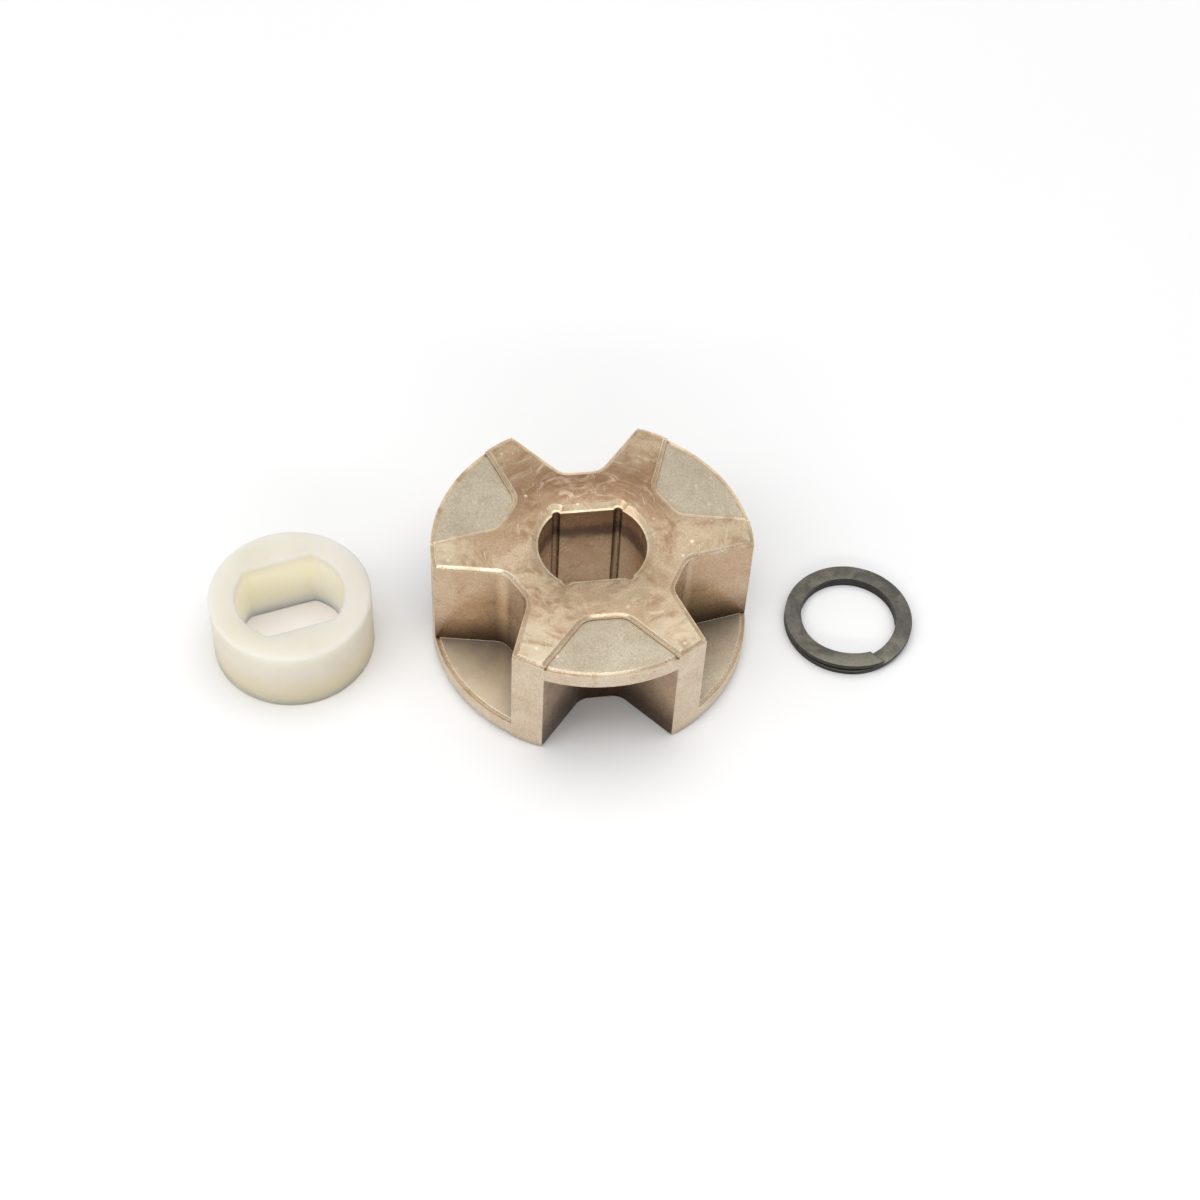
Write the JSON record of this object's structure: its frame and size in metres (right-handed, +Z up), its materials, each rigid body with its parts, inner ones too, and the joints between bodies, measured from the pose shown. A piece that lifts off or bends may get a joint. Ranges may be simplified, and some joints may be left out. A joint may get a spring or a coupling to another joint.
{
  "type": "chain drive sprocket set",
  "caption": "Toothed chain-drive sprocket with side plates in alternate gaps and a double-D bore, laid out beside its nylon spacer bush and spiral retaining ring.",
  "frame": {"origin": "on the sprocket's axis, level with its bottom face and the bench", "axes": "+Z up along the sprocket's axis, +X through a tooth tip and towards the ring, -X towards the spacer; the flats of the sprocket's bore face +Y and -Y"},
  "size_m": [0.0671, 0.03, 0.0127],
  "materials": {
    "sintered_steel": "as-sintered powder metal, fine grain, bright press edges",
    "natural_nylon": "satin, slightly translucent",
    "blackened_spring_steel": "black oxide, matte"
  },
  "bodies": {
    "sprocket_body": {"sprocket": "sintered_steel"},
    "spacer_body": {"spacer": "natural_nylon"},
    "ring_body": {"retaining_ring": "blackened_spring_steel"}
  },
  "joints": [
    {"name": "spacer_lift", "type": "slide", "parent": "sprocket_body", "child": "spacer_body", "axis": [0, 0, 1], "range_m": [0, 0.02]},
    {"name": "ring_lift", "type": "slide", "parent": "sprocket_body", "child": "ring_body", "axis": [0, 0, 1], "range_m": [0, 0.02]}
  ]
}
